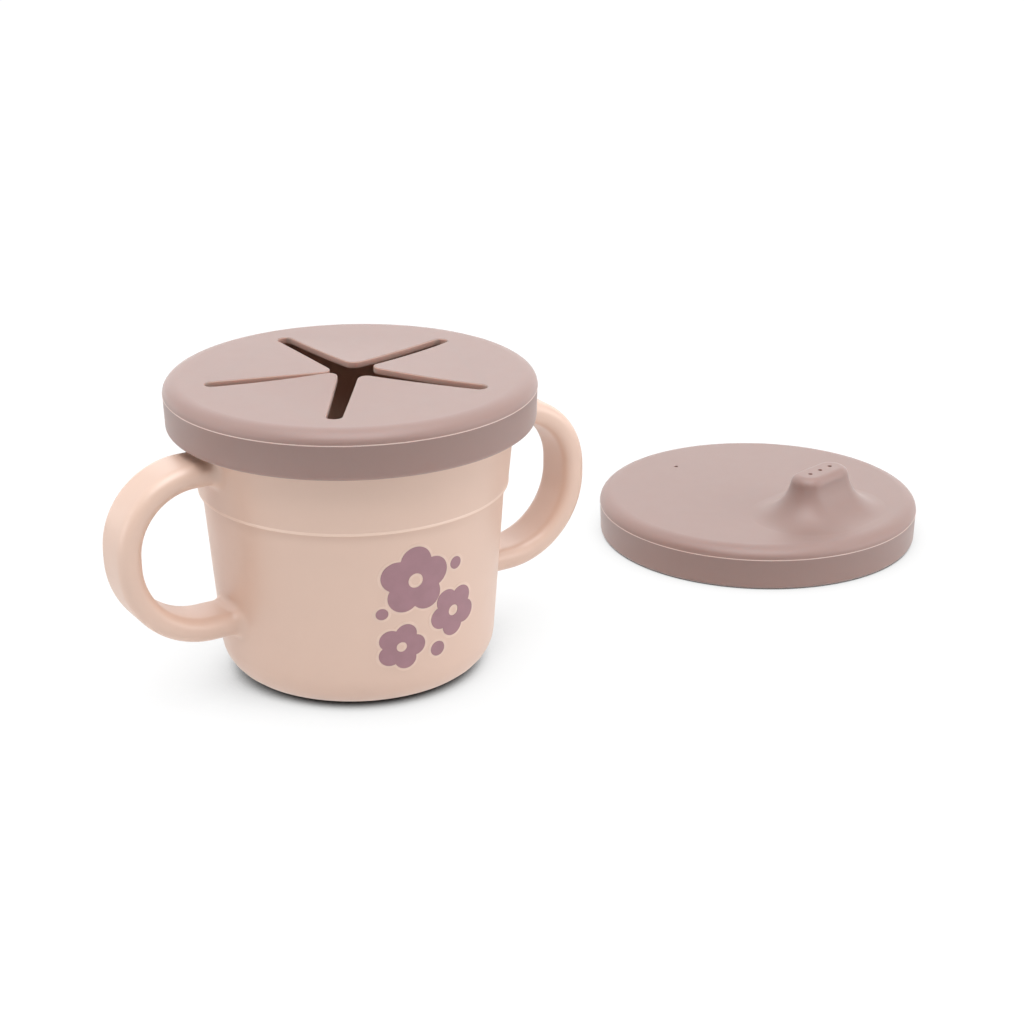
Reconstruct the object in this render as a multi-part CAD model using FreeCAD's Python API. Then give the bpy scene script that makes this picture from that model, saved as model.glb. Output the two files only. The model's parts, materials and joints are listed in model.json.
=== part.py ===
import FreeCAD, Part
import math
import os

# Two-handled snack cup for a toddler: a hard cup with a printed front, a soft snack lid with five
# slits seated on its rim, and a soft spout lid lying beside it.
# Millimetres. The origin is the centre of the cup's base, +Z is up, the handles lie along X and the
# print faces -Y.

Vector = FreeCAD.Vector
UP = Vector(0, 0, 1)
AXIS_POINT = Vector(0, 0, 0)
TOUCHING = 1e-6

# Cup wall, from the table up
base_radius = 35.25          # wall line carried down to the table
base_round = 9.15
wall_flare = 3.7             # how far the wall leans out between the table and the ledge
ledge_height = 49.5
ledge_rise = 0.2
ledge_depth = 0.95
collar_flare = 2.4           # how far the collar leans out between the ledge and the rim bead
rim_height = 76.75
rim_bead_height = 4.0
rim_bead_slope = 1.5
rim_bead_depth = 1.7
rim_round = 0.7
wall_thickness = 2.2
floor_thickness = 2.6
inner_base_round = 7.4

# Strap handles
handle_stand_out = 20.1      # outer face of the strap, beyond the lid's edge
handle_lid_gap = 2.1         # room under the lid's skirt
handle_bottom = 16.6
handle_width = 14.0
handle_thickness = 6.25
handle_edge_round = 2.4
handle_flat = 0.8            # least flat run between two rounded edges
handle_upper_bend = 21.3     # outside radius of the upper bend
handle_straight = 2.2        # upright run between the two bends

# Print on the front of the cup
print_foot_margin = 1.4      # above the rounded base
print_head_margin = 5.3      # below the ledge
print_thickness = 0.15
print_glue = 0.02
blossom_petals = 5
blossom_ring = 0.52          # these four are shares of a blossom's size
blossom_petal = 0.42
blossom_disc = 0.45
blossom_heart = 0.20
# Places on the print as shares of its height: across, up and size, and a blossom's lean in radians
blossoms = [(-0.10, 0.24, 0.29, 0.3), (0.24, -0.09, 0.22, 0.9), (-0.20, -0.29, 0.20, 0.0)]
dots = [(0.25, 0.30, 0.050), (0.10, -0.37, 0.060), (-0.35, 0.0, 0.045)]

# Lid cap, the same on both lids
lid_height = 12.4
lid_top_thickness = 1.8
lid_clearance = 0.25         # between the rim bead and the socket
lid_skirt_thickness = 3.25   # at the parting line
lid_skirt_draft = 0.3
lid_edge_round = 3.1
lid_parting_land = 0.2
lid_foot_round = 1.4

# Star of slits in the snack lid
flap_count = 5
slit_direction = 19.7        # degrees from +X
slit_margin = 7.1            # slit end to socket wall
slit_width = 4.0             # at the outer end
slit_centre_width = 5.3      # where the edges would cross the lid's axis
flap_tip_round = 2.5
hinge_clearance = 0.05

# Spout lid
spout_lid_gap = 29.9         # between the right handle and the lid
spout_lid_offset_y = 15.5
spout_direction = -76.0      # degrees from +X, from the lid's centre to the spout
spout_inset = 24.7           # spout's middle to the lid's edge
spout_length = 20.0
spout_width = 9.6
spout_height = 12.5
spout_wall = 1.8
spout_flare = 9.8
spout_top_round = 2.2
spout_upright = 0.5          # least upright run between the flare and the rounded top
spout_mouth_round = 4.0
spout_hole_radius = 0.7
spout_hole_spacing = 4.7
spout_hole_count = 3
vent_inset = 15.5
vent_radius = 0.65

# Sizes that follow from those above
ledge_wall_radius = base_radius + wall_flare
ledge_collar_radius = ledge_wall_radius + ledge_depth
collar_top_radius = ledge_collar_radius + collar_flare
rim_radius = collar_top_radius + rim_bead_depth
socket_radius = rim_radius + lid_clearance
lid_radius = socket_radius + lid_skirt_thickness
lid_seat = rim_height + lid_top_thickness - lid_height    # height of the fitted lid's lower edge
handle_reach = lid_radius + handle_stand_out
handle_top = lid_seat - handle_lid_gap
half_step = math.pi / flap_count
slit_reach = socket_radius - slit_margin
slit_end_radius = slit_reach - slit_width / 2
hinge_distance = slit_end_radius * math.cos(half_step)
bead_radius = lid_top_thickness / 2
spout_lid_x = handle_reach + spout_lid_gap + lid_radius


def side_view(u, v):
    return Vector(u, 0, v)


def plan_view(u, v):
    return Vector(u, v, 0)


def end_view(u, v):
    return Vector(0, u, v)


def rounded_wire(corners, place, closed=True):
    """Wire through (u, v, round) corners, with a tangent arc at each corner whose round isn't 0."""
    count = len(corners)
    arrive = []
    crown = []
    leave = []
    for index, (u, v, bend) in enumerate(corners):
        here = place(u, v)
        if not bend:
            arrive.append(here)
            crown.append(None)
            leave.append(here)
            continue
        back = (place(*corners[index - 1][:2]) - here).normalize()
        onward = (place(*corners[(index + 1) % count][:2]) - here).normalize()
        half_angle = back.getAngle(onward) / 2
        inward = (back + onward).normalize()
        arrive.append(here + back * (bend / math.tan(half_angle)))
        crown.append(here + inward * (bend / math.sin(half_angle) - bend))
        leave.append(here + onward * (bend / math.tan(half_angle)))
    edges = []
    for index in range(count):
        if crown[index]:
            edges.append(Part.Arc(arrive[index], crown[index], leave[index]).toShape())
        following = (index + 1) % count
        if following == 0 and not closed:
            break
        if leave[index].distanceToPoint(arrive[following]) > TOUCHING:
            edges.append(Part.LineSegment(leave[index], arrive[following]).toShape())
    return Part.Wire(edges)


def turned(corners):
    """Solid of revolution about the upright axis."""
    return Part.Face(rounded_wire(corners, side_view)).revolve(AXIS_POINT, UP, 360)


def prism(corners, low, high):
    """Upright prism on a plan outline, between two heights."""
    face = Part.Face(rounded_wire(corners, plan_view))
    face.translate(UP * low)
    return face.extrude(UP * (high - low))


def turned_to(shape, degrees):
    """Copy of a shape, turned about the upright axis."""
    copy = shape.copy()
    copy.rotate(AXIS_POINT, UP, degrees)
    return copy


def wall_radius(height):
    """Outside radius of the cup's wall between the table and the ledge."""
    return base_radius + wall_flare * height / (ledge_height - ledge_rise)


def cup_outline():
    """Outside of the cup, from the middle of the base to the rim."""
    bead_low = rim_height - rim_bead_height
    return [
        (0, 0, 0),
        (base_radius, 0, base_round),
        (ledge_wall_radius, ledge_height - ledge_rise, 0),
        (ledge_collar_radius, ledge_height, 0),
        (collar_top_radius, bead_low, 0),
        (rim_radius, bead_low + rim_bead_slope, 0),
        (rim_radius, rim_height, rim_round),
    ]


def make_cup_body():
    inside = [
        (collar_top_radius - wall_thickness, rim_height, rim_round),
        (ledge_wall_radius - wall_thickness, ledge_height, 0),
        (base_radius - wall_thickness, floor_thickness, inner_base_round),
        (0, floor_thickness, 0),
    ]
    return turned(cup_outline() + inside)


def make_right_handle():
    """Strap bent round the finger gap, trimmed to the cup's outside."""
    half = handle_thickness / 2
    reach = handle_reach - half
    high = handle_top - half
    low = handle_bottom + half
    lower_bend = handle_top - handle_bottom - handle_straight - handle_upper_bend
    root = base_radius / 2
    path = rounded_wire(
        [
            (root, high, 0),
            (reach, high, handle_upper_bend - half),
            (reach, low, lower_bend - half),
            (root, low, 0),
        ],
        side_view,
        closed=False,
    )
    side = handle_width / 2
    edge_round = min(handle_edge_round, (handle_thickness - handle_flat) / 2)
    section = rounded_wire(
        [
            (-side, high - half, edge_round),
            (side, high - half, edge_round),
            (side, high + half, edge_round),
            (-side, high + half, edge_round),
        ],
        end_view,
    )
    section.translate(Vector(root, 0, 0))
    strap = path.makePipeShell([section], True, False)
    return strap.cut(turned(cup_outline() + [(0, rim_height, 0)]))


def make_front_print():
    """Thin film of blossoms and dots that follows the cup's wall."""
    low = base_round + print_foot_margin
    high = ledge_height - print_head_margin
    field = high - low
    middle = (low + high) / 2

    def disc(across, up, radius):
        centre = Vector(across * field, 0, middle + up * field)
        return Part.makeCylinder(radius * field, lid_radius, centre, Vector(0, -1, 0))

    def blossom(across, up, size, lean):
        petals = []
        for index in range(blossom_petals):
            angle = lean + 2 * math.pi * index / blossom_petals
            petal_across = across + blossom_ring * size * math.cos(angle)
            petal_up = up + blossom_ring * size * math.sin(angle)
            petals.append(disc(petal_across, petal_up, blossom_petal * size))
        heart = disc(across, up, blossom_heart * size)
        return disc(across, up, blossom_disc * size).multiFuse(petals).cut(heart)

    stamps = [blossom(*place) for place in blossoms] + [disc(*place) for place in dots]
    inner_low = wall_radius(low) + print_glue
    inner_high = wall_radius(high) + print_glue
    film = turned(
        [
            (inner_low, low, 0),
            (inner_low + print_thickness, low, 0),
            (inner_high + print_thickness, high, 0),
            (inner_high, high, 0),
        ]
    )
    solids = []
    for stamp in stamps:
        solids += film.common(stamp).Solids
    return Part.makeCompound(solids)


def make_cap():
    """Round lid with its lower edge at height 0 and a plain socket for the rim bead."""
    parting = lid_height - lid_edge_round - lid_parting_land
    ceiling = lid_height - lid_top_thickness
    return turned(
        [
            (0, ceiling, 0),
            (socket_radius, ceiling, 0),
            (socket_radius, 0, 0),
            (lid_radius - lid_skirt_draft, 0, lid_foot_round),
            (lid_radius, parting, 0),
            (lid_radius, lid_height, lid_edge_round),
            (0, lid_height, 0),
        ]
    )


def slit_end(depth):
    """Cutter for one slit's round outer end, along +X."""
    half = slit_width / 2
    outline = [
        (hinge_distance, -half, 0),
        (slit_end_radius, -half, 0),
        (slit_end_radius, half, 0),
        (hinge_distance, half, 0),
    ]
    return prism(outline, 0, depth).fuse(Part.makeCylinder(half, depth, Vector(slit_end_radius, 0, 0)))


def make_snack_lid_ring():
    """Cap with a five-sided hole: its straight edges carry the flaps, its corners end the slits."""
    edge_distance = hinge_distance + bead_radius + hinge_clearance
    corner_radius = edge_distance / math.cos(half_step)
    corners = []
    for index in range(flap_count):
        angle = math.radians(slit_direction) + 2 * half_step * index
        corners.append((corner_radius * math.cos(angle), corner_radius * math.sin(angle), 0))
    cutter = prism(corners, 0, 2 * lid_height)
    for index in range(flap_count):
        direction = slit_direction + math.degrees(2 * half_step * index)
        cutter = cutter.fuse(turned_to(slit_end(2 * lid_height), direction))
    ring = make_cap().cut(cutter)
    ring.translate(UP * lid_seat)
    return ring


def make_flap():
    """Wedge flap along +X, with a round bead along its bending line."""
    along = Vector(math.cos(half_step), math.sin(half_step), 0)
    across = Vector(math.sin(half_step), -math.cos(half_step), 0)
    outer = along * slit_end_radius + across * (slit_width / 2)
    inner = across * (slit_centre_width / 2)
    lean = (outer.y - inner.y) / (outer.x - inner.x)
    tip = inner.x - inner.y / lean
    half_width = inner.y + lean * (hinge_distance - inner.x)
    outline = [
        (tip, 0, flap_tip_round),
        (hinge_distance, -half_width, 0),
        (hinge_distance + lid_top_thickness, -half_width, 0),
        (hinge_distance + lid_top_thickness, half_width, 0),
        (hinge_distance, half_width, 0),
    ]
    low = rim_height
    high = rim_height + lid_top_thickness
    wedge = prism(outline, low, high)
    section = [
        Part.LineSegment(side_view(0, low), side_view(hinge_distance, low)).toShape(),
        Part.Arc(
            side_view(hinge_distance, low),
            side_view(hinge_distance + bead_radius, low + bead_radius),
            side_view(hinge_distance, high),
        ).toShape(),
        Part.LineSegment(side_view(hinge_distance, high), side_view(0, high)).toShape(),
        Part.LineSegment(side_view(0, high), side_view(0, low)).toShape(),
    ]
    sheet = Part.Face(Part.Wire(section))
    sheet.translate(Vector(0, -2 * half_width, 0))
    return wedge.common(sheet.extrude(Vector(0, 4 * half_width, 0)))


def stadium(length, width, centre):
    """Plan of a round-ended slot across X, centred on the X axis."""
    half = width / 2
    straight = (length - width) / 2
    bottom = Part.Arc(
        Vector(centre + half, -straight, 0),
        Vector(centre, -straight - half, 0),
        Vector(centre - half, -straight, 0),
    )
    top = Part.Arc(
        Vector(centre - half, straight, 0),
        Vector(centre, straight + half, 0),
        Vector(centre + half, straight, 0),
    )
    sides = [
        Part.LineSegment(Vector(centre - half, -straight, 0), Vector(centre - half, straight, 0)),
        Part.LineSegment(Vector(centre + half, straight, 0), Vector(centre + half, -straight, 0)),
    ]
    return Part.Wire([bottom.toShape(), sides[0].toShape(), top.toShape(), sides[1].toShape()])


def stadium_block(length, width, centre, low, high):
    face = Part.Face(stadium(length, width, centre))
    face.translate(UP * low)
    return face.extrude(UP * (high - low))


def edges_at(shape, height, centre, reach):
    """Level edges at one height, near the spout's middle."""
    found = []
    for edge in shape.Edges:
        box = edge.BoundBox
        level = abs(box.ZMin - height) < TOUCHING and abs(box.ZMax - height) < TOUCHING
        near = max(abs(box.XMin - centre), abs(box.XMax - centre)) < reach
        if level and near:
            found.append(edge)
    return found


def make_spout_lid():
    """Cap with a closed top, a hollow spout along +X, its drinking holes and a vent hole."""
    centre = lid_radius - spout_inset
    top = lid_height + spout_height
    ceiling = lid_height - lid_top_thickness
    near = spout_length
    flare = min(spout_flare, spout_height - spout_top_round - spout_upright)
    boss = stadium_block(spout_length, spout_width, centre, ceiling, top)
    lid = make_cap().fuse(boss).removeSplitter()
    lid = lid.makeFillet(flare, edges_at(lid, lid_height, centre, near))
    lid = lid.makeFillet(spout_top_round, edges_at(lid, top, centre, near))
    inner_length = spout_length - 2 * spout_wall
    inner_width = spout_width - 2 * spout_wall
    lid = lid.cut(stadium_block(inner_length, inner_width, centre, 0, top - spout_wall))
    lid = lid.makeFillet(spout_mouth_round, edges_at(lid, ceiling, centre, near))
    for index in range(spout_hole_count):
        across = (index - (spout_hole_count - 1) / 2) * spout_hole_spacing
        foot = Vector(centre, across, lid_height)
        lid = lid.cut(Part.makeCylinder(spout_hole_radius, spout_height, foot))
    vent = Part.makeCylinder(vent_radius, lid_height, Vector(vent_inset - lid_radius, 0, 0))
    lid = turned_to(lid.cut(vent), spout_direction)
    lid.translate(Vector(spout_lid_x, spout_lid_offset_y, 0))
    return lid


right_handle = make_right_handle()
nodes = {
    "cup_body": make_cup_body(),
    "right_handle": right_handle,
    "left_handle": turned_to(right_handle, 180),
    "front_print": make_front_print(),
    "snack_lid_ring": make_snack_lid_ring(),
    "spout_lid": make_spout_lid(),
}
flap = make_flap()
for index in range(flap_count):
    flap_direction = slit_direction + math.degrees(half_step * (2 * index + 1))
    nodes["snack_flap_" + str(index + 1)] = turned_to(flap, flap_direction)

os.makedirs("parts", exist_ok=True)
for name, shape in nodes.items():
    shape.exportStep("parts/" + name + ".step")
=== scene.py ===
import json
import math
import bmesh
import bpy
from mathutils import Matrix, Vector


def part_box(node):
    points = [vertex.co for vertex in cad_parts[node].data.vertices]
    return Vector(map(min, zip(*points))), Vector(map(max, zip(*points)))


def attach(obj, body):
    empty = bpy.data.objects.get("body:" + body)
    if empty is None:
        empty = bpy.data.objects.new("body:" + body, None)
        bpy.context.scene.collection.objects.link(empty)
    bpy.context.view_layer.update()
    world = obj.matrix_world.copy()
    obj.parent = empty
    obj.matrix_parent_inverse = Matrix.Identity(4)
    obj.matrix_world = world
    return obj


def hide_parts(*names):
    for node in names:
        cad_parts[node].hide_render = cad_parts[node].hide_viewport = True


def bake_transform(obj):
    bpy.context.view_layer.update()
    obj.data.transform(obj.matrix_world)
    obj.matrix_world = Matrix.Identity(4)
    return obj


# Looks of the two-handled snack cup: satin cup, soft snack lid with five slits, soft spout lid.
# Metres, in the frame's own axes: origin at the centre of the cup's base, +Z up, print facing -Y.

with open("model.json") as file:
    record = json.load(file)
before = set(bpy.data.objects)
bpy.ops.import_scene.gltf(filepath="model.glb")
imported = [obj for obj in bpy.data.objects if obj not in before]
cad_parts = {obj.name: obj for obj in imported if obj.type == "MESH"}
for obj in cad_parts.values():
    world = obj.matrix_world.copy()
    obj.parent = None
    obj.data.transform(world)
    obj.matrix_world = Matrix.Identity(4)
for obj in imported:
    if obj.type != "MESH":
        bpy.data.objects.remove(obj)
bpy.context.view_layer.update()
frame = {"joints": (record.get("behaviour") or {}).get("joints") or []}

MM = 0.001
MERGE = 1e-6
SHARP_ANGLE = math.radians(40)
ARC_STEPS = 8
EDGE_STEPS = 4
BEND_STEPS = 24
SPOUT_END_STEPS = 48
ROUND_STEPS = 160
HOLE_SIDES = 24
ARC_MARGIN = 0.08 * MM

# Sizes read from the frame
cup_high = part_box("cup_body")[1]
ring_low, ring_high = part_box("snack_lid_ring")
spout_low, spout_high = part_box("spout_lid")
handle_low, handle_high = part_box("right_handle")
flap_joints = [joint for joint in frame["joints"] if joint["name"].startswith("flap_")]
flap_hinges = [Vector(joint["pos_m"]) for joint in flap_joints]
rim_radius = cup_high.x
rim_height = cup_high.z
lid_radius = (ring_high.x - ring_low.x) / 2
lid_seat = ring_low.z
lid_height = ring_high.z - lid_seat
lid_thickness = ring_high.z - rim_height
spout_top = spout_high.z

# Cup wall
base_radius = 35.25 * MM
base_round = 9.15 * MM
ledge_wall_radius = 38.95 * MM
ledge_height = 49.5 * MM
ledge_rise = 0.2 * MM
ledge_depth = 0.95 * MM
ledge_inner_round = 0.15 * MM
lip_stand_out = 0.14 * MM
lip_height = 0.75 * MM
lip_slope = 0.25 * MM
lip_round = 0.2 * MM
collar_top_radius = 42.3 * MM
rim_bead_height = 4.0 * MM
rim_bead_slope = 1.5 * MM
rim_round = 0.7 * MM
wall_thickness = 2.2 * MM
floor_thickness = 2.6 * MM
inner_base_round = 7.4 * MM

# Handles
handle_thickness = 6.25 * MM
handle_edge_round = 2.8 * MM
handle_upper_bend = 21.3 * MM
handle_straight = 2.2 * MM
handle_fillet = 2.5 * MM
handle_sink = 0.6 * MM

# Lid cap
socket_clearance = 0.25 * MM
lid_skirt_draft = 0.3 * MM
lid_edge_round = 3.1 * MM
# How much further the soft top edge reaches inwards than a round one
lid_edge_stretch = 1.45
lid_foot_round = 1.4 * MM
socket_round = 0.8 * MM
parting_land = 0.2 * MM
parting_half = 0.15 * MM
parting_stand_out = 0.1 * MM

# Slits and flaps
flap_count = len(flap_joints)
half_step = math.pi / flap_count
slit_half = 2.0 * MM
slit_centre_half = 2.65 * MM
flap_tip_round = 2.5 * MM
slit_edge_round = 0.3 * MM
flap_curls = [1.4 * MM, -0.2 * MM, 2.0 * MM, 1.0 * MM, 1.8 * MM]

# Spout
spout_direction = math.radians(-76)
spout_place = 22.8 * MM
spout_half_length = 10.0 * MM
spout_half_width = 4.8 * MM
spout_lean = 2.6 * MM
spout_flare = 11.8 * MM
spout_top_round = 2.6 * MM
spout_wall = 1.8 * MM
spout_mouth_round = 4.0 * MM
spout_hole_radius = 0.7 * MM
spout_hole_spacing = 4.7 * MM
spout_hole_count = 3
vent_place = -32.0 * MM
vent_radius = 0.65 * MM

# Print
print_stand_out = 0.14 * MM
border_stand_out = 0.06 * MM
border_width = 0.75 * MM
blossom_petals = 5
# Shares of a blossom's size: radius of the petals' circle, of a petal, of the disc and of the open heart
blossom_ring = 0.52
blossom_petal = 0.42
blossom_disc = 0.45
blossom_heart = 0.20
# Across and up from the print's middle, and size, as shares of its height; a blossom also has a lean
blossoms = [(-0.10, 0.24, 0.29, 0.3), (0.24, -0.09, 0.22, 0.9), (-0.20, -0.29, 0.20, 0.0)]
dots = [(0.25, 0.30, 0.050), (0.10, -0.37, 0.060), (-0.35, 0.0, 0.045)]
print_foot = 10.55 * MM
print_field = 33.65 * MM
# Steps over a mark: share of the way from its inner to its outer edge, and share of the film's thickness
film_steps = [(0, 0), (0, 1), (0.25, 1), (0.5, 1), (0.75, 1), (1, 1), (1, 0)]

# Colours, how much light the silicone takes in, and where noise counts as its lowest and highest
plastic_colour = (0.70, 0.495, 0.397)
# Paler plastic for the ledge's lip: a painted highlight
ledge_highlight_colour = (0.82, 0.61, 0.5)
silicone_colour = (0.29, 0.18, 0.156)
# Paler silicone for the raised parting line: a painted highlight
parting_highlight_colour = (0.58, 0.43, 0.385)
# Paler, warmer silicone for the slit walls: painted light that stands in for light scattered through the
# silicone
slit_wall_painted_light_colour = (0.5, 0.32, 0.265)
ink_colour = (0.34, 0.185, 0.213)
border_colour = (0.74, 0.555, 0.46)
lid_softness = 0.4
slit_wall_softness = 0.3
tone_noise = (0.35, 0.65)
gloss_noise = (0.3, 0.7)

# Which faces are walls: square of the upright part of a face's direction
slit_wall_limit = 0.5
parting_line_limit = 0.9

# Camera
camera_place = Vector((-245.94, -474.39, 245.39)) * MM
camera_heading = 0.5548
camera_pitch = 0.3673
camera_roll = -0.0039
camera_lens = 77.19
camera_sensor = 36.0

# Stage: the floor's tones, how near the object its contact shadow starts, and the lamps
floor_reach = 4.0
floor_colour = (0.92, 0.92, 0.92)
floor_seen_colour = (0.06, 0.06, 0.06)
contact_reach = 30 * MM
# How open the floor is to the sky, and how white it then looks
contact_tones = [(0.12, 0.0), (0.25, 0.26), (0.35, 0.6), (0.45, 0.76), (0.6, 0.9), (1.0, 1.0)]
lamp_aim = Vector((50, 0, 30)) * MM
# Name, bearing and elevation in degrees, distance, width and height in metres, level of white
softboxes = [
    ("top_softbox", 0, 80, 0.8, 0.6, 0.6, 1.4),
    ("back_softbox", 0, 25, 1.3, 1.6, 0.8, 1.15),
    ("right_softbox", 105, 15, 0.9, 0.8, 0.45, 2.7),
    ("left_softbox", -112, 15, 0.9, 0.8, 0.45, 1.8),
    ("upper_left_softbox", -80, 45, 1.0, 0.7, 0.7, 1.1),
    ("upper_right_softbox", 75, 45, 1.0, 0.7, 0.7, 1.0),
    ("front_softbox", 178, 68, 1.0, 0.8, 0.8, 4.35),
    ("left_strip", -45, 5, 0.9, 0.8, 0.2, 1.2),
    ("right_strip", 45, 5, 0.9, 0.8, 0.2, 0.8),
]

# Sizes that follow from those above
socket_radius = rim_radius + socket_clearance
parting_height = lid_height - lid_edge_round - parting_land
lid_edge_run = 1.25 * lid_edge_round
drill_length = 4 * lid_height
hinge_distance = flap_hinges[0].xy.length
first_flap_turn = math.atan2(flap_hinges[0].y, flap_hinges[0].x)
slit_end_radius = hinge_distance / math.cos(half_step)
slit_end_centre = Vector((hinge_distance, hinge_distance * math.tan(half_step)))
join_distance = hinge_distance + slit_half
edge_lean = math.asin((slit_centre_half - slit_half) / slit_end_radius)
edge_normal = Vector((math.sin(half_step + edge_lean), -math.cos(half_step + edge_lean)))
spout_lid_centre = (spout_low + spout_high) / 2


def spread(first, last, steps):
    """Evenly spaced values from first to last, both included."""
    return [first + (last - first) * step / steps for step in range(steps + 1)]


# Angles round a full turn, and where rows of points are set, as shares of the way
full_turn = spread(0, 2 * math.pi, ROUND_STEPS)
column_shares = [-1, -0.97] + spread(-0.9, 0.9, 18) + [0.97, 1]
flap_edge_shares = [0.02, 0.04, 0.06, 0.08, 0.1, 0.12, 0.15, 0.2, 0.3, 0.45, 0.6, 0.75, 0.9, 0.97]
ring_top_shares = [0.04, 0.3, 0.65]
ring_ceiling_shares = [0.35, 0.7, 0.96]
cap_top_shares = [0.1, 0.4, 0.7]
cap_ceiling_shares = [0.3, 0.6, 0.9]


def on_circle(angle, radius=1.0):
    return Vector((math.cos(angle), math.sin(angle))) * radius


def rounded_path(corners):
    """Points along a path through (u, v, round) corners, with an arc at each rounded corner."""
    points = []
    for index, (u, v, bend) in enumerate(corners):
        here = Vector((u, v))
        if not bend:
            points.append(here)
            continue
        back = (Vector(corners[index - 1][:2]) - here).normalized()
        onward = (Vector(corners[index + 1][:2]) - here).normalized()
        half_angle = back.angle(onward) / 2
        run = bend / math.tan(half_angle)
        centre = here + (back + onward).normalized() * (bend / math.sin(half_angle))
        start = here + back * run - centre
        finish = here + onward * run - centre
        first = math.atan2(start.y, start.x)
        turn = math.remainder(math.atan2(finish.y, finish.x) - first, 2 * math.pi)
        points.append(centre + start + back * ARC_MARGIN)
        points += [centre + on_circle(angle, bend) for angle in spread(first, first + turn, ARC_STEPS)]
        points.append(centre + finish + onward * ARC_MARGIN)
    return points


def make_piece(name, grids, body):
    """Smooth closed mesh from grids of points; points that meet are joined."""
    work = bmesh.new()
    for rows in grids:
        table = [[work.verts.new(point) for point in row] for row in rows]
        for one, following in zip(table, table[1:]):
            for index in range(len(one) - 1):
                work.faces.new((one[index], one[index + 1], following[index + 1], following[index]))
    bmesh.ops.remove_doubles(work, verts=work.verts, dist=MERGE)
    bmesh.ops.recalc_face_normals(work, faces=work.faces)
    mesh = bpy.data.meshes.new(name)
    work.to_mesh(mesh)
    work.free()
    mesh.shade_smooth()
    mesh.set_sharp_from_angle(angle=SHARP_ANGLE)
    piece = bpy.data.objects.new(name, mesh)
    bpy.context.scene.collection.objects.link(piece)
    if body:
        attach(piece, body)
    return piece


def lathe_rows(profile):
    """Rows round the upright axis for (radius, height) points."""
    rows = []
    for radius, height in profile:
        rows.append([Vector((*on_circle(angle, radius), height)) for angle in full_turn])
    return rows


def blend_rows(one, other, shares):
    """Rows between two rows of equal length."""
    return [[a.lerp(b, share) for a, b in zip(one, other)] for share in shares]


def turned(point, turn):
    return Matrix.Rotation(turn, 3, "Z") @ point


# Cup and handles

def wall_radius(height):
    """Outside radius of the cup's wall, below the ledge or on the collar above it."""
    if height < ledge_height:
        share = height / (ledge_height - ledge_rise)
        return base_radius + (ledge_wall_radius - base_radius) * share
    low = ledge_wall_radius + ledge_depth
    share = (height - ledge_height) / (rim_height - rim_bead_height - ledge_height)
    return low + (collar_top_radius - low) * share


def make_cup():
    bead_low = rim_height - rim_bead_height
    lip_radius = ledge_wall_radius + ledge_depth + lip_stand_out
    lip_top = ledge_height + lip_height
    profile = rounded_path(
        [
            (0, 0, 0),
            (base_radius, 0, base_round),
            (ledge_wall_radius, ledge_height - ledge_rise, ledge_inner_round),
            (lip_radius, ledge_height, lip_round),
            (lip_radius, lip_top - lip_slope, lip_round),
            (wall_radius(lip_top), lip_top, ledge_inner_round),
            (collar_top_radius, bead_low, ledge_inner_round),
            (rim_radius, bead_low + rim_bead_slope, ledge_inner_round),
            (rim_radius, rim_height, rim_round),
            (collar_top_radius - wall_thickness, rim_height, rim_round),
            (ledge_wall_radius - wall_thickness, ledge_height, base_round),
            (base_radius - wall_thickness, floor_thickness, inner_base_round),
            (0, floor_thickness, 0),
        ]
    )
    cup = make_piece("cup", [lathe_rows(profile)], "cup")
    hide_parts("cup_body")
    return cup


def strap_section():
    """Closed strap outline as (across, out) points, each with its outward direction."""
    half_width = (handle_high.y - handle_low.y) / 2 - handle_edge_round
    half_depth = handle_thickness / 2 - handle_edge_round
    outline = []
    for quarter, (side, face) in enumerate([(1, 1), (-1, 1), (-1, -1), (1, -1)]):
        corner = Vector((side * half_width, face * half_depth))
        for angle in spread(quarter * math.pi / 2, (quarter + 1) * math.pi / 2, ARC_STEPS):
            outline.append((corner + on_circle(angle, handle_edge_round), on_circle(angle)))
    outline.append(outline[0])
    dense = []
    for (here, facing), (ahead, facing_ahead) in zip(outline, outline[1:]):
        steps = max(1, round((ahead - here).length / MM))
        for share in spread(0, 1, steps)[:-1]:
            dense.append((here.lerp(ahead, share), facing.lerp(facing_ahead, share).normalized()))
    dense.append(dense[0])
    return dense


def handle_root(section, height, face):
    """Rows of one handle end, from inside the cup's wall out along a fillet to the plain strap."""
    rows = []
    turns = [(-handle_sink, handle_fillet)]
    for angle in reversed(spread(0, math.pi / 2, ARC_STEPS)):
        turns.append((handle_fillet * (1 - math.sin(angle)), handle_fillet * (1 - math.cos(angle))))
    for out, grow in turns:
        row = []
        for point, facing in section:
            across = point.x + facing.x * grow
            up = height + face * (point.y + facing.y * grow)
            wall = math.sqrt(wall_radius(up) ** 2 - across ** 2)
            row.append(Vector((wall + out, across, up)))
        rows.append(row)
    middle = sum(rows[0][:-1], Vector()) / (len(rows[0]) - 1)
    return [[middle] * len(section)] + rows


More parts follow.
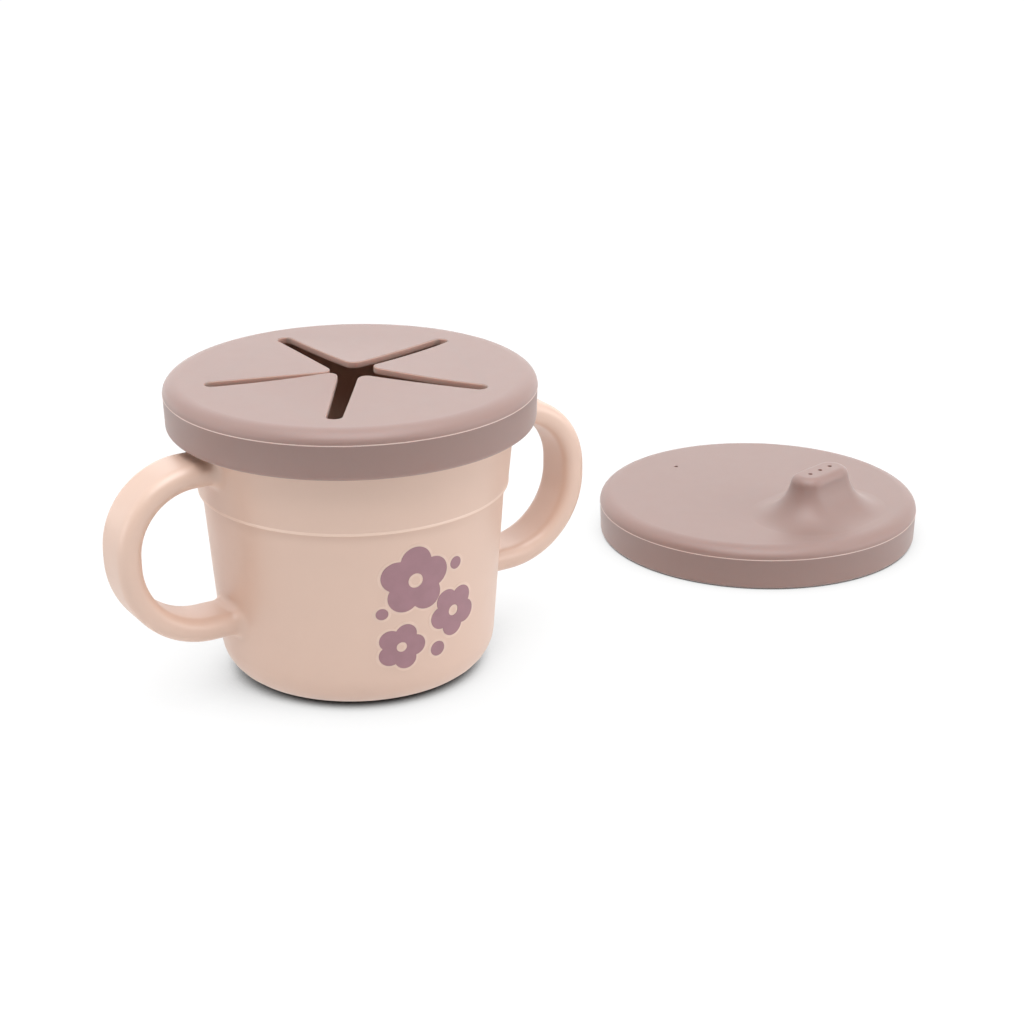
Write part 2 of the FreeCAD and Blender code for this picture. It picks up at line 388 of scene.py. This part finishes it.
def make_handle(name, node, turn):
    """Strap bent round the finger gap, with a fillet where each end meets the cup."""
    section = strap_section()
    half = handle_thickness / 2
    reach = handle_high.x - half
    high = handle_high.z - half
    low = handle_low.z + half
    upper = handle_upper_bend - half
    lower = handle_high.z - handle_low.z - handle_straight - handle_upper_bend - half
    path = []
    for angle in spread(math.pi / 2, 0, BEND_STEPS):
        path.append((Vector((reach - upper, high - upper)) + on_circle(angle, upper), on_circle(angle)))
    for angle in spread(0, -math.pi / 2, BEND_STEPS):
        path.append((Vector((reach - lower, low + lower)) + on_circle(angle, lower), on_circle(angle)))
    rows = handle_root(section, high, 1)
    for place, out in path:
        row = []
        for point, _ in section:
            spot = place + out * point.y
            row.append(Vector((spot.x, point.x, spot.y)))
        rows.append(row)
    rows += reversed(handle_root(section, low, -1))
    rows = [[turned(point, turn) for point in row] for row in rows]
    handle = make_piece(name, [rows], "cup")
    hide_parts(node)
    return handle


# Print on the front

def on_wall(across, height, stand_out):
    """Point on the cup's front wall."""
    radius = wall_radius(height) + stand_out
    return Vector((across, -math.sqrt(radius ** 2 - across ** 2), height))


def blossom_reach(angle, size):
    """Distance from a blossom's middle to its outline, with its first petal at angle 0."""
    reach = blossom_disc * size
    for petal in range(blossom_petals):
        off = angle - 2 * math.pi * petal / blossom_petals
        under = (blossom_petal * size) ** 2 - (blossom_ring * size * math.sin(off)) ** 2
        if under >= 0 and math.cos(off) > 0:
            reach = max(reach, blossom_ring * size * math.cos(off) + math.sqrt(under))
    return reach


def stamp_rows(across, up, inner, outer, stand_out):
    """Rows of one raised print mark, from its inner reach to the outer reach at each angle of a turn."""
    middle = print_foot + print_field / 2
    rows = []
    for share, lift in film_steps:
        row = []
        for angle, edge in zip(full_turn, outer):
            reach = inner + (edge - inner) * share
            spot = Vector((across, up)) * print_field + on_circle(angle, reach)
            row.append(on_wall(spot.x, middle + spot.y, stand_out * lift))
        rows.append(row)
    return rows


def make_print(name, stand_out, grow):
    """Film of blossoms and dots on the wall; the border below it is the same film, grown all round."""
    grids = []
    for across, up, size, lean in blossoms:
        real = size * print_field
        heart = blossom_heart * real - grow
        outer = [blossom_reach(angle - lean, real) + grow for angle in full_turn]
        grids.append(stamp_rows(across, up, heart, outer, stand_out))
    for across, up, size in dots:
        outer = [size * print_field + grow for angle in full_turn]
        grids.append(stamp_rows(across, up, 0, outer, stand_out))
    return make_piece(name, grids, "cup")


# Lids

def cap_profile(seat):
    """Outside of a lid as (radius, height), from the edge of its flat top down and into the socket."""
    foot = lid_radius - lid_skirt_draft
    part = seat + parting_height
    edge = rounded_path(
        [
            (lid_radius - lid_edge_run, seat + lid_height, 0),
            (lid_radius, seat + lid_height, lid_edge_round - parting_half),
            (lid_radius, part + parting_half, 0),
        ]
    )
    soft_edge = [(lid_radius - (lid_radius - radius) * lid_edge_stretch, height) for radius, height in edge]
    return soft_edge + rounded_path(
        [
            (lid_radius + parting_stand_out, part, 0),
            (lid_radius, part - parting_half, 0),
            (foot, seat, lid_foot_round),
            (socket_radius, seat, socket_round),
            (socket_radius, seat + lid_height - lid_thickness, socket_round),
            (socket_radius - 2 * socket_round, seat + lid_height - lid_thickness, 0),
        ]
    )


def edge_levels():
    """(inset, height) steps over the rounded edge of a slit, from the lid's underside to its top."""
    steps = []
    for angle in spread(0, math.pi / 2, EDGE_STEPS):
        steps.append((slit_edge_round * (1 - math.sin(angle)), slit_edge_round * (1 - math.cos(angle))))
    low = [(inset, rim_height + rise) for inset, rise in steps]
    high = [(inset, rim_height + lid_thickness - rise) for inset, rise in reversed(steps)]
    return low + high


def join_half(inset):
    """Half the length of the line along which a flap runs into the ring."""
    return slit_end_centre.y - math.sqrt((slit_half + inset) ** 2 - slit_half ** 2)


def ring_inside(inset, height):
    """Inner edge of the ring at one height: flap lines and round slit ends in turn."""
    reach = slit_half + inset
    opening = half_step + math.acos(slit_half / reach)
    points = []
    for flap in range(flap_count):
        turn = first_flap_turn + 2 * half_step * flap
        for share in column_shares:
            points.append(turned(Vector((join_distance, share * join_half(inset), height)), turn))
        for angle in spread(-opening, opening, 2 * ARC_STEPS)[1:-1]:
            spot = Vector((slit_end_radius, 0)) + on_circle(angle, reach)
            points.append(turned(Vector((*spot, height)), turn + half_step))
    return points + points[:1]


def circles_under(row, profile):
    """Circles for a (radius, height) profile, each point on the same bearing as in the given row."""
    bearings = [point.xy.normalized() for point in row]
    rows = []
    for radius, height in profile:
        rows.append([Vector((*(bearing * radius), height)) for bearing in bearings])
    return rows


def make_snack_ring():
    levels = edge_levels()
    inside = [ring_inside(inset, height) for inset, height in levels]
    outside = circles_under(inside[-1], cap_profile(lid_seat))
    flat = blend_rows(inside[-1], outside[0], ring_top_shares)
    ceiling = blend_rows(outside[-1], inside[0], ring_ceiling_shares)
    rows = inside + flat + outside + ceiling + inside[:1]
    ring = make_piece("snack_lid", [rows], "snack_lid")
    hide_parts("snack_lid_ring")
    return ring


def flap_side(inset):
    """One long edge of a flap in plan, from the ring to its round tip, drawn in by an inset."""
    reach = slit_half + inset
    leave = math.atan2(edge_normal.y, edge_normal.x)
    points = []
    for angle in spread(-math.acos(slit_half / reach), leave, ARC_STEPS):
        points.append(slit_end_centre + on_circle(angle, reach))
    tip_radius = flap_tip_round - inset
    tip = Vector(((slit_centre_half + flap_tip_round) / edge_normal.x, 0))
    start = points[-1]
    finish = tip - edge_normal * tip_radius
    for share in flap_edge_shares:
        points.append(start.lerp(finish, share))
    for angle in spread(math.pi + leave, math.pi, ARC_STEPS):
        points.append(tip + on_circle(angle, tip_radius))
    return points


def curled(point, curl):
    """Point of a flap, lifted towards the tip by its curl at rest."""
    share = max(0, 1 - point.x / join_distance)
    return point + Vector((0, 0, curl * share ** 2))


def flap_row(here, height):
    """Row across a flap, from one long edge to the other."""
    return [Vector((here.x, share * here.y, height)) for share in column_shares]


def make_flap(index):
    """Flap that runs into the ring without a seam, lifted towards its tip by its curl."""
    levels = edge_levels()
    border = []
    join = []
    for inset, height in levels:
        side = flap_side(inset)
        there = [Vector((point.x, -point.y, height)) for point in side]
        back = [Vector((point.x, point.y, height)) for point in reversed(side[:-1])]
        border.append(there + back)
        join.append([Vector((join_distance, share * join_half(inset), height)) for share in column_shares])
    inset, low = levels[0]
    high = levels[-1][1]
    top = [flap_row(point, high) for point in flap_side(inset)]
    bottom = [flap_row(point, low) for point in flap_side(inset)]
    turn = first_flap_turn + 2 * half_step * index
    grids = []
    for rows in [border, join, top, bottom]:
        grids.append([[turned(curled(point, flap_curls[index]), turn) for point in row] for row in rows])
    number = str(index + 1)
    flap = make_piece("snack_flap." + number, grids, None)
    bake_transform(flap)
    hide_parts("snack_flap_" + number)
    return flap


def stadium_row(radius, height):
    """Round-ended row about the spout's middle line, as seen from above."""
    straight = spout_half_length - spout_half_width
    points = []
    for end in (1, -1):
        first = 0 if end > 0 else math.pi
        for angle in spread(first, first + math.pi, SPOUT_END_STEPS):
            spot = Vector((spout_place, end * straight)) + on_circle(angle, radius)
            points.append(Vector((*spot, height)))
        for share in spread(1, -1, ARC_STEPS)[1:-1]:
            points.append(Vector((spout_place - end * radius, end * share * straight, height)))
    return points + points[:1]


def reach_circle(row, middle, radius):
    """Where lines from a middle row through a row meet a circle about the lid's axis."""
    points = []
    for here, core in zip(row, middle):
        way = (here - core).xy.normalized()
        along = core.xy.dot(way)
        reach = math.sqrt(along ** 2 - core.xy.length_squared + radius ** 2) - along
        points.append(Vector((*(core.xy + way * reach), here.z)))
    return points


def spout_outside():
    """(radius, height) points about the spout's middle line, from its top down to the lid's top."""
    return rounded_path(
        [
            (0, spout_top, 0),
            (spout_half_width, spout_top, spout_top_round),
            (spout_half_width + spout_lean, lid_height, spout_flare),
            (spout_half_width + 2 * spout_flare, lid_height, 0),
        ]
    )[:-1]


def spout_inside():
    """(radius, height) points about the spout's middle line, from the lid's ceiling up its channel."""
    ceiling = lid_height - lid_thickness
    channel = spout_half_width - spout_wall
    return rounded_path(
        [
            (channel + 2 * spout_mouth_round, ceiling, 0),
            (channel, ceiling, spout_mouth_round),
            (channel, spout_top - spout_wall, spout_wall / 2),
            (0, spout_top - spout_wall, 0),
        ]
    )[1:]


def drill(piece, holes):
    """Cuts upright round holes, each given as (x, y, radius), through a piece in its own axes."""
    for x, y, radius in holes:
        bpy.ops.mesh.primitive_cylinder_add(
            vertices=HOLE_SIDES, radius=radius, depth=drill_length, location=(x, y, spout_top)
        )
        cutter = bpy.context.object
        cut = piece.modifiers.new("hole", "BOOLEAN")
        cut.operation = "DIFFERENCE"
        cut.solver = "EXACT"
        cut.object = cutter
        solid = bpy.data.meshes.new_from_object(piece.evaluated_get(bpy.context.evaluated_depsgraph_get()))
        piece.modifiers.remove(cut)
        bpy.data.objects.remove(cutter)
        piece.data = solid


def make_spout_lid():
    middle = stadium_row(0, lid_height)
    guide = stadium_row(spout_half_width, lid_height)
    spout = [stadium_row(radius, height) for radius, height in spout_outside()]
    rim = reach_circle(guide, middle, lid_radius)
    outside = circles_under(rim, cap_profile(0))
    flat = blend_rows(spout[-1], outside[0], cap_top_shares)
    channel = [stadium_row(radius, height) for radius, height in spout_inside()]
    ceiling = blend_rows(outside[-1], channel[0], cap_ceiling_shares)
    rows = spout + flat + outside + ceiling + channel
    lid = make_piece("spout_cap", [rows], None)
    holes = [(vent_place, 0, vent_radius)]
    for index in range(spout_hole_count):
        across = (index - (spout_hole_count - 1) / 2) * spout_hole_spacing
        holes.append((spout_place, across, spout_hole_radius))
    drill(lid, holes)
    place = Matrix.Translation((spout_lid_centre.x, spout_lid_centre.y, 0))
    lid.data.transform(place @ Matrix.Rotation(spout_direction, 4, "Z"))
    lid.data.set_sharp_from_angle(angle=SHARP_ANGLE)
    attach(lid, "spout_lid")
    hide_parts("spout_lid")
    return lid


# Materials

def new_material(name):
    """Material with a Principled shader, and its texture coordinates in the object's own axes."""
    material = bpy.data.materials.new(name)
    material.use_nodes = True
    nodes = material.node_tree.nodes
    place = nodes.new("ShaderNodeTexCoord")
    return material, nodes["Principled BSDF"], place.outputs["Object"]


def add_noise(material, place, scale, detail):
    noise = material.node_tree.nodes.new("ShaderNodeTexNoise")
    noise.inputs["Scale"].default_value = scale
    noise.inputs["Detail"].default_value = detail
    material.node_tree.links.new(place, noise.inputs["Vector"])
    return noise.outputs["Fac"]


def vary_colour(material, shader, source, base, drift):
    """Base colour that drifts between a slightly darker and a slightly lighter tone."""
    ramp = material.node_tree.nodes.new("ShaderNodeValToRGB")
    for stop, position, factor in zip(ramp.color_ramp.elements, tone_noise, (1 - drift, 1 + drift)):
        stop.position = position
        stop.color = (*(channel * factor for channel in base), 1)
    material.node_tree.links.new(source, ramp.inputs["Fac"])
    material.node_tree.links.new(ramp.outputs["Color"], shader.inputs["Base Color"])


def vary_roughness(material, shader, source, low, high):
    span = material.node_tree.nodes.new("ShaderNodeMapRange")
    span.inputs["From Min"].default_value = gloss_noise[0]
    span.inputs["From Max"].default_value = gloss_noise[1]
    span.inputs["To Min"].default_value = low
    span.inputs["To Max"].default_value = high
    material.node_tree.links.new(source, span.inputs["Value"])
    material.node_tree.links.new(span.outputs["Result"], shader.inputs["Roughness"])


def add_bump(material, source, strength, depth, onto):
    """Bump that feeds the Normal input of a shader or of a further bump."""
    bump = material.node_tree.nodes.new("ShaderNodeBump")
    bump.inputs["Strength"].default_value = strength
    bump.inputs["Distance"].default_value = depth
    material.node_tree.links.new(source, bump.inputs["Height"])
    material.node_tree.links.new(bump.outputs["Normal"], onto.inputs["Normal"])
    return bump


def make_plastic(name, base):
    """Satin moulded polypropylene: faint tone drift, fine moulded grain, slow ripple in the gloss."""
    material, shader, place = new_material(name)
    shader.inputs["IOR"].default_value = 1.49
    shader.inputs["Specular IOR Level"].default_value = 1.0
    tint = add_noise(material, place, scale=45, detail=3)
    grain = add_noise(material, place, scale=2600, detail=2)
    ripple = add_noise(material, place, scale=160, detail=2)
    vary_colour(material, shader, tint, base, drift=0.01)
    vary_roughness(material, shader, ripple, low=0.36, high=0.42)
    fine = add_bump(material, grain, strength=0.1, depth=0.04 * MM, onto=shader)
    add_bump(material, ripple, strength=0.12, depth=0.12 * MM, onto=fine)
    return material


def make_silicone(name, base, softness):
    """Matt silicone: powdery bloom at low angles, very fine moulded grain, faint tone drift."""
    material, shader, place = new_material(name)
    shader.inputs["IOR"].default_value = 1.43
    shader.inputs["Specular IOR Level"].default_value = 1.0
    shader.inputs["Sheen Weight"].default_value = 0.22
    shader.inputs["Sheen Roughness"].default_value = 0.45
    shader.inputs["Subsurface Weight"].default_value = softness
    shader.inputs["Subsurface Radius"].default_value = (1.0, 0.5, 0.4)
    shader.inputs["Subsurface Scale"].default_value = 4 * MM
    tint = add_noise(material, place, scale=60, detail=4)
    grain = add_noise(material, place, scale=3200, detail=3)
    ripple = add_noise(material, place, scale=220, detail=2)
    vary_colour(material, shader, tint, base, drift=0.003)
    vary_roughness(material, shader, ripple, low=0.5, high=0.52)
    fine = add_bump(material, grain, strength=0.14, depth=0.04 * MM, onto=shader)
    add_bump(material, ripple, strength=0.015, depth=0.1 * MM, onto=fine)
    return material


def make_ink(name, base):
    """Flat printed film with a fine screen grain."""
    material, shader, place = new_material(name)
    tint = add_noise(material, place, scale=300, detail=4)
    grain = add_noise(material, place, scale=4000, detail=2)
    vary_colour(material, shader, tint, base, drift=0.04)
    vary_roughness(material, shader, tint, low=0.45, high=0.55)
    add_bump(material, grain, strength=0.12, depth=0.03 * MM, onto=shader)
    return material


def paint(piece, material):
    piece.data.materials.clear()
    piece.data.materials.append(material)


def mark(piece, material, faces):
    """Gives some faces of a painted piece a further material."""
    piece.data.materials.append(material)
    for face in faces:
        face.material_index = len(piece.data.materials) - 1


def ledge_highlight_faces(cup):
    """Faces of the thin lip of the ledge, which get a paler colour as a painted highlight."""
    faces = []
    for face in cup.data.polygons:
        level = ledge_height < face.center.z < ledge_height + lip_height
        if level and face.center.xy.length > ledge_wall_radius:
            faces.append(face)
    return faces


def slit_wall_painted_light_faces(piece):
    """Upright walls of the slits, which get a paler, warmer colour as painted light scattered through the
    silicone.
    """
    faces = []
    for face in piece.data.polygons:
        inside = face.center.xy.length < slit_end_radius + 2 * slit_half
        if inside and face.normal.z ** 2 < slit_wall_limit:
            faces.append(face)
    return faces


def parting_highlight_faces(lid, seat):
    """Faces of the raised line round a lid, which get a paler colour as a painted highlight."""
    faces = []
    for face in lid.data.polygons:
        level = abs(face.center.z - seat - parting_height) < parting_half
        if level and face.normal.z ** 2 < parting_line_limit:
            faces.append(face)
    return faces


# Stage

def make_floor():
    """White table: it bounces light, shows white in gloss, and greys to the camera close to the object."""
    work = bmesh.new()
    bmesh.ops.create_grid(work, x_segments=1, y_segments=1, size=floor_reach)
    mesh = bpy.data.meshes.new("floor")
    work.to_mesh(mesh)
    work.free()
    floor = bpy.data.objects.new("floor", mesh)
    bpy.context.scene.collection.objects.link(floor)
    material = bpy.data.materials.new("floor_white")
    material.use_nodes = True
    nodes = material.node_tree.nodes
    links = material.node_tree.links
    nodes.remove(nodes["Principled BSDF"])
    table = nodes.new("ShaderNodeBsdfDiffuse")
    table.inputs["Color"].default_value = (*floor_colour, 1)
    gloss = nodes.new("ShaderNodeEmission")
    nearness = nodes.new("ShaderNodeAmbientOcclusion")
    nearness.inputs["Distance"].default_value = contact_reach
    tones = nodes.new("ShaderNodeValToRGB")
    stops = tones.color_ramp.elements
    while len(stops) < len(contact_tones):
        stops.new(1.0)
    for stop, (openness, white) in zip(stops, contact_tones):
        stop.position = openness
        stop.color = (white, white, white, 1)
    glow = nodes.new("ShaderNodeEmission")
    shade = nodes.new("ShaderNodeBsdfDiffuse")
    shade.inputs["Color"].default_value = (*floor_seen_colour, 1)
    seen = nodes.new("ShaderNodeAddShader")
    path = nodes.new("ShaderNodeLightPath")
    in_gloss = nodes.new("ShaderNodeMixShader")
    to_camera = nodes.new("ShaderNodeMixShader")
    links.new(nearness.outputs["AO"], tones.inputs["Fac"])
    links.new(tones.outputs["Color"], glow.inputs["Color"])
    links.new(shade.outputs["BSDF"], seen.inputs[0])
    links.new(glow.outputs["Emission"], seen.inputs[1])
    links.new(path.outputs["Is Glossy Ray"], in_gloss.inputs["Fac"])
    links.new(table.outputs["BSDF"], in_gloss.inputs[1])
    links.new(gloss.outputs["Emission"], in_gloss.inputs[2])
    links.new(path.outputs["Is Camera Ray"], to_camera.inputs["Fac"])
    links.new(in_gloss.outputs["Shader"], to_camera.inputs[1])
    links.new(seen.outputs["Shader"], to_camera.inputs[2])
    links.new(to_camera.outputs["Shader"], nodes["Material Output"].inputs["Surface"])
    floor.data.materials.append(material)


def make_world():
    """White to the camera and in reflections; only the lamps and the floor light the object."""
    world = bpy.data.worlds.new("studio")
    bpy.context.scene.world = world
    world.use_nodes = True
    nodes = world.node_tree.nodes
    links = world.node_tree.links
    path = nodes.new("ShaderNodeLightPath")
    seen = nodes.new("ShaderNodeMath")
    seen.operation = "MAXIMUM"
    links.new(path.outputs["Is Camera Ray"], seen.inputs[0])
    links.new(path.outputs["Is Glossy Ray"], seen.inputs[1])
    links.new(seen.outputs["Value"], nodes["Background"].inputs["Strength"])
    nodes["Background"].inputs["Color"].default_value = (1, 1, 1, 1)


def add_softbox(name, bearing, elevation, distance, width, height, level):
    """Lamp aimed at the object; its bearing runs clockwise from straight ahead of the camera."""
    heading = camera_heading + math.radians(bearing)
    rise = math.radians(elevation)
    way = Vector((math.sin(heading) * math.cos(rise), math.cos(heading) * math.cos(rise), math.sin(rise)))
    data = bpy.data.lights.new(name, "AREA")
    data.shape = "RECTANGLE"
    data.size = width
    data.size_y = height
    data.energy = level * math.pi * width * height
    lamp = bpy.data.objects.new(name, data)
    lamp.location = lamp_aim + way * distance
    lamp.rotation_euler = way.to_track_quat("Z", "Y").to_euler()
    lamp.visible_camera = False
    bpy.context.scene.collection.objects.link(lamp)


def make_camera():
    forward = Vector(
        (
            math.sin(camera_heading) * math.cos(camera_pitch),
            math.cos(camera_heading) * math.cos(camera_pitch),
            -math.sin(camera_pitch),
        )
    )
    right = forward.cross(Vector((0, 0, 1))).normalized()
    up = right.cross(forward)
    rolled_right = right * math.cos(camera_roll) + up * math.sin(camera_roll)
    rolled_up = up * math.cos(camera_roll) - right * math.sin(camera_roll)
    data = bpy.data.cameras.new("camera")
    data.lens = camera_lens
    data.sensor_width = camera_sensor
    camera = bpy.data.objects.new("camera", data)
    turn = Matrix((rolled_right, rolled_up, -forward)).transposed()
    camera.matrix_world = Matrix.Translation(camera_place) @ turn.to_4x4()
    bpy.context.scene.collection.objects.link(camera)
    bpy.context.scene.camera = camera


# Build

plastic = make_plastic("cup_plastic", plastic_colour)
plastic_ledge_highlight = make_plastic("cup_ledge_highlight", ledge_highlight_colour)
silicone = make_silicone("lid_silicone", silicone_colour, lid_softness)
silicone_parting_highlight = make_silicone("lid_parting_line_highlight", parting_highlight_colour, lid_softness)
silicone_slit_wall_painted_light = make_silicone("lid_slit_wall_painted_light", slit_wall_painted_light_colour, slit_wall_softness)
ink = make_ink("print_ink", ink_colour)
border = make_ink("print_border", border_colour)

cup = make_cup()
paint(cup, plastic)
# Painted highlight on the ledge's lip
mark(cup, plastic_ledge_highlight, ledge_highlight_faces(cup))
paint(make_handle("right_grip", "right_handle", 0), plastic)
paint(make_handle("left_grip", "left_handle", math.pi), plastic)
print_piece = make_print("print", print_stand_out, 0)
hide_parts("front_print")
paint(print_piece, ink)
paint(make_print("print_border", border_stand_out, border_width), border)

snack_ring = make_snack_ring()
spout_cap = make_spout_lid()
for lid, seat in [(snack_ring, lid_seat), (spout_cap, 0)]:
    paint(lid, silicone)
    # Painted highlight on each lid's raised parting line
    mark(lid, silicone_parting_highlight, parting_highlight_faces(lid, seat))
# Painted light on the slit walls of the ring and of each flap
mark(snack_ring, silicone_slit_wall_painted_light, slit_wall_painted_light_faces(snack_ring))
for index in range(flap_count):
    flap = make_flap(index)
    paint(flap, silicone)
    mark(flap, silicone_slit_wall_painted_light, slit_wall_painted_light_faces(flap))

make_floor()
make_world()
for softbox in softboxes:
    add_softbox(*softbox)
make_camera()
bpy.context.scene.view_settings.view_transform = "Standard"
